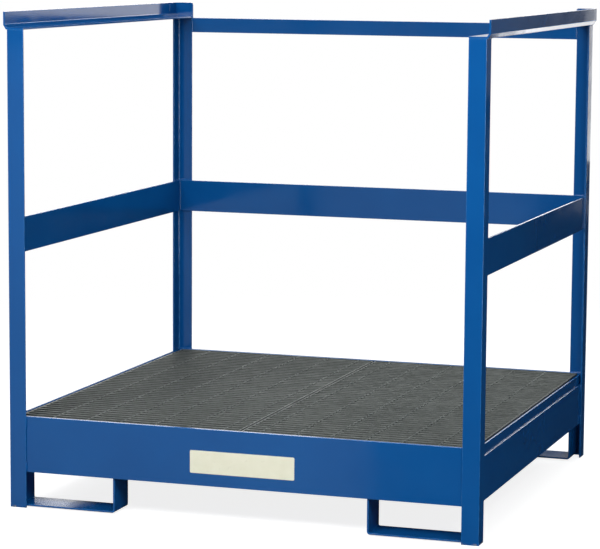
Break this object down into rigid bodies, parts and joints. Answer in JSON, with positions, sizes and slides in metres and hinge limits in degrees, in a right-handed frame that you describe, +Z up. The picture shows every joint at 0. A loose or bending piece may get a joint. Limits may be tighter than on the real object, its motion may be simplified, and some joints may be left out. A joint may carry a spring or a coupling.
{
  "type": "spill containment pallet",
  "caption": "Welded steel spill sump for drums with a lift-out grating deck, fork-lift feet, corner posts, guard rails and stacking rails.",
  "frame": {"origin": "on the floor, below the middle of the pallet", "axes": "+X to the right seen from the open front, +Y from the open front to the back, +Z up"},
  "size_m": [1.416, 1.32, 1.422],
  "materials": {
    "blue_enamel": "high gloss blue enamel over welded steel",
    "galvanised_steel": "dull hot-dip galvanised, weathered grey",
    "label_plate": "smooth blank cream label"
  },
  "bodies": {
    "frame": {"post_front_left": "blue_enamel", "post_front_right": "blue_enamel", "post_rear_left": "blue_enamel", "post_rear_right": "blue_enamel", "sump_floor": "blue_enamel", "sump_front_panel": "blue_enamel", "sump_rear_panel": "blue_enamel", "sump_wall_left": "blue_enamel", "sump_wall_right": "blue_enamel", "ledge_left": "blue_enamel", "ledge_right": "blue_enamel", "ledge_front": "blue_enamel", "ledge_rear": "blue_enamel", "bearer_left": "blue_enamel", "bearer_middle": "blue_enamel", "bearer_right": "blue_enamel", "foot_front_left": "blue_enamel", "foot_front_right": "blue_enamel", "foot_rear_left": "blue_enamel", "foot_rear_right": "blue_enamel", "guard_rail_left": "blue_enamel", "guard_rail_right": "blue_enamel", "guard_rail_rear": "blue_enamel", "top_tie_rear": "blue_enamel", "stacking_rail_left": "blue_enamel", "stacking_rail_right": "blue_enamel", "stacking_stop_left": "blue_enamel", "stacking_stop_right": "blue_enamel", "label_plate": "label_plate"},
    "grating_left": {"grating_left": "galvanised_steel"},
    "grating_right": {"grating_right": "galvanised_steel"}
  },
  "joints": [
    {"name": "grating_left_lift", "type": "slide", "parent": "frame", "child": "grating_left", "axis": [0, 0, 1], "range_m": [0, 0.3]},
    {"name": "grating_right_lift", "type": "slide", "parent": "frame", "child": "grating_right", "axis": [0, 0, 1], "range_m": [0, 0.3]}
  ]
}
